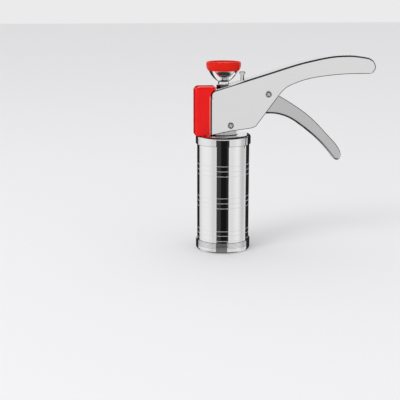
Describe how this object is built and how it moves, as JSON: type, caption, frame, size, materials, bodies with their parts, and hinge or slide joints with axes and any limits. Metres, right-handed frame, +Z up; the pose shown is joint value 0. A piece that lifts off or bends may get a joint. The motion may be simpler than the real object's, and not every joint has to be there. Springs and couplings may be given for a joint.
{
  "type": "sevai maker",
  "caption": "Hand press for extruded snacks: upright steel barrel with a pierced disc, folded body and handle, squeezed trigger, jam-plate plunger with knob and release pin.",
  "frame": {"origin": "centre of the bottom cap's flat base, on the barrel's axis", "axes": "+Z up along the barrel and plunger, +X towards the handle's grip, +Y to the side of the pivot's nut"},
  "size_m": [0.1794, 0.0548, 0.1934],
  "materials": {
    "polished_steel": "polished stainless steel",
    "sheet_steel": "buffed stainless sheet",
    "satin_steel": "satin stainless steel",
    "turned_steel": "turned and polished steel",
    "spring_wire": "drawn spring wire",
    "red_plastic": "glossy moulded plastic",
    "white_nylon": "natural nylon"
  },
  "bodies": {
    "press_body": {"body_shell": "sheet_steel", "nose_cover": "red_plastic", "cap_bracket": "satin_steel", "head_cap": "polished_steel", "lower_guide_bush": "turned_steel", "guide_nut": "turned_steel", "upper_guide_bush": "turned_steel", "pin_guide": "turned_steel", "pivot_sleeve": "turned_steel", "pivot_spacers": "turned_steel", "pivot_screw": "turned_steel", "pivot_nut": "turned_steel", "bracket_screws": "turned_steel", "return_spring": "spring_wire", "catch_spring": "spring_wire"},
    "trigger": {"trigger": "sheet_steel"},
    "drive_plate": {"drive_plate": "satin_steel"},
    "plunger": {"plunger_rod": "turned_steel", "piston": "satin_steel", "piston_ring": "white_nylon", "piston_screw": "turned_steel", "knob_cup": "polished_steel", "knob_cap": "red_plastic"},
    "catch_plate": {"catch_plate": "satin_steel"},
    "release_pin": {"release_pin": "turned_steel"},
    "barrel": {"barrel": "polished_steel"},
    "bottom_cap": {"bottom_cap": "polished_steel", "sevai_disc": "satin_steel"}
  },
  "joints": [
    {"name": "trigger_squeeze", "type": "hinge", "parent": "press_body", "child": "trigger", "pos_m": [0.0431, 0, 0.1564], "axis": [0, -1, 0], "range_deg": [0, 29.66], "stiffness_Nm_per_rad": 0.3, "springref_deg": -28.65},
    {"name": "drive_plate_push", "type": "slide", "parent": "press_body", "child": "drive_plate", "axis": [0, 0, -1], "range_m": [0, 0.01201], "deforming": ["return_spring"]},
    {"name": "plunger_slide", "type": "slide", "parent": "press_body", "child": "plunger", "axis": [0, 0, 1], "range_m": [0, 0.1]},
    {"name": "release_press", "type": "slide", "parent": "press_body", "child": "release_pin", "axis": [0, 0, -1], "range_m": [0, 0.0028], "stiffness_N_per_m": 300, "springref_m": -0.003},
    {"name": "catch_tilt", "type": "hinge", "parent": "press_body", "child": "catch_plate", "pos_m": [-0.00985, 0, 0.1274], "axis": [0, 1, 0], "range_deg": [0, 5.71], "deforming": ["catch_spring"]},
    {"name": "barrel_turn", "type": "hinge", "parent": "press_body", "child": "barrel", "pos_m": [0, 0, 0.06], "axis": [0, 0, 1], "range_deg": [0, 360]},
    {"name": "bottom_cap_turn", "type": "hinge", "parent": "barrel", "child": "bottom_cap", "pos_m": [0, 0, 0.005], "axis": [0, 0, 1], "range_deg": [0, 360]}
  ],
  "couplings": [
    {"joint": "drive_plate_push", "follows": "trigger_squeeze", "m_per_rad": 0.02318},
    {"joint": "catch_tilt", "follows": "release_press", "rad_per_m": 35.5}
  ]
}
